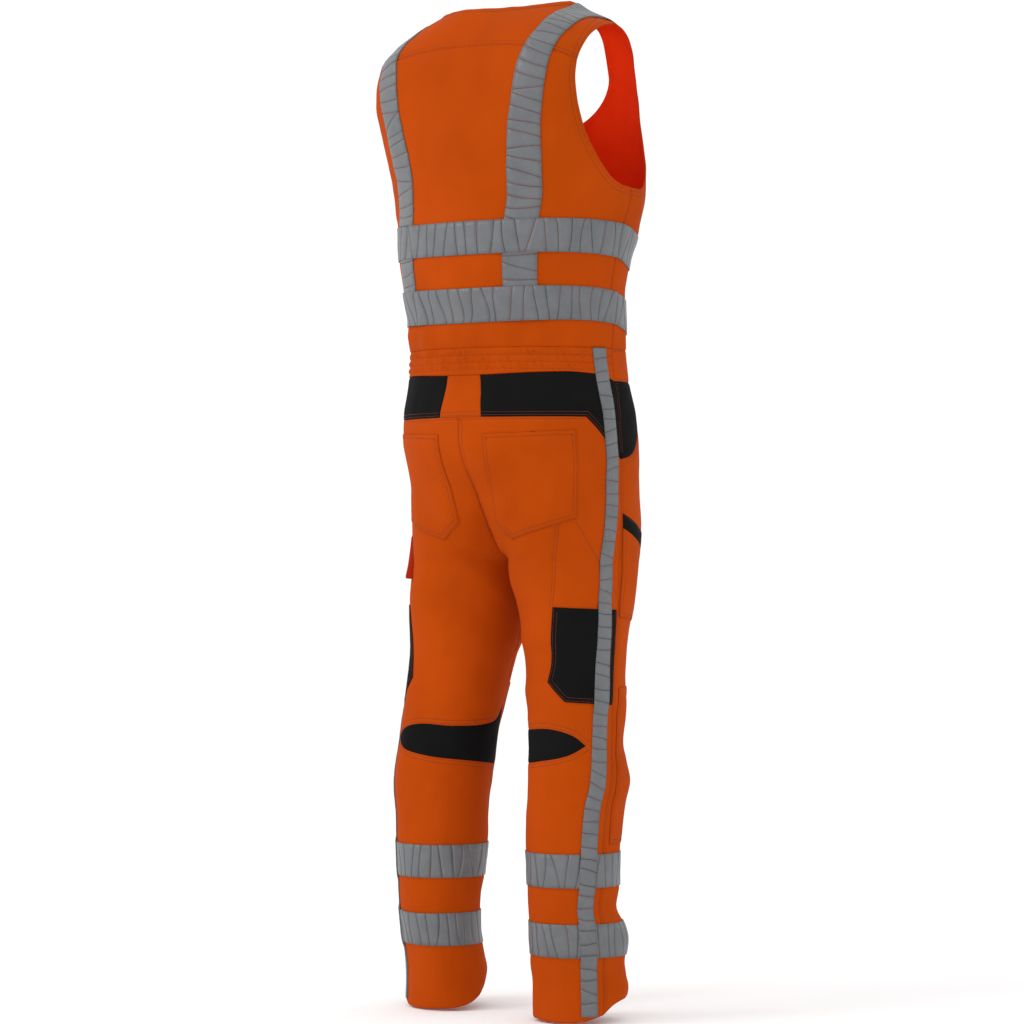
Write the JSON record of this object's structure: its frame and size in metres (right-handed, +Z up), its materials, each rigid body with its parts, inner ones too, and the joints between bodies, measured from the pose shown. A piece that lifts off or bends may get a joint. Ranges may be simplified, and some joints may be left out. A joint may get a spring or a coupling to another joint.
{
  "type": "hi-vis bib trousers",
  "caption": "Sleeveless zipped work top sewn to hi-vis trousers, filled out with no wearer, with reflective tape and open neck, armholes and hems.",
  "frame": {"origin": "where the shoulders carry it: on the middle plane, between the two shoulder seams", "axes": "+Z up, -Y towards the garment's front, +X towards the wearer's left"},
  "size_m": [0.4189, 0.3337, 1.5276],
  "materials": {
    "orange_twill": "fluorescent orange polyester and cotton twill",
    "black_twill": "black contrast twill",
    "reflective_tape": "segmented grey reflective tape",
    "zip_tape": "black woven zip tape",
    "zip_metal": "plain nickel-coloured metal"
  },
  "bodies": {
    "garment": {"back_panel": "orange_twill", "back_pocket_left": "orange_twill", "back_pocket_right": "orange_twill", "back_yoke": "orange_twill", "body_band_lower": "reflective_tape", "body_band_upper": "reflective_tape", "brace_left": "reflective_tape", "brace_right": "reflective_tape", "front_left": "orange_twill", "front_right": "orange_twill", "hammer_loop": "orange_twill", "hip_insert_left": "black_twill", "hip_insert_right": "black_twill", "hip_yoke": "orange_twill", "knee_back_left": "black_twill", "knee_back_right": "black_twill", "knee_pocket_left": "orange_twill", "knee_pocket_right": "orange_twill", "leg_back_left": "orange_twill", "leg_back_right": "orange_twill", "leg_band_lower_left": "reflective_tape", "leg_band_lower_right": "reflective_tape", "leg_band_upper_left": "reflective_tape", "leg_band_upper_right": "reflective_tape", "leg_front_left": "orange_twill", "leg_front_right": "orange_twill", "pocket_facing_left": "black_twill", "pocket_facing_right": "black_twill", "ruler_pocket_left": "black_twill", "ruler_pocket_right": "black_twill", "side_tape_left": "reflective_tape", "side_tape_right": "reflective_tape", "thigh_pocket_edge_left": "black_twill", "thigh_pocket_edge_right": "black_twill", "thigh_pocket_left": "orange_twill", "thigh_pocket_right": "orange_twill", "waistband_back": "orange_twill", "waistband_front_left": "orange_twill", "waistband_front_right": "orange_twill", "zip_left": "zip_tape", "zip_right": "zip_tape", "zip_slider": "zip_metal"},
    "pull_tab": {"pull_tab": "zip_metal"}
  },
  "joints": [
    {"name": "pull_tab_hinge", "type": "hinge", "parent": "garment", "child": "pull_tab", "pos_m": [0, -0.12362, -0.18335], "axis": [-1, 0, 0], "range_deg": [0, 165]}
  ]
}
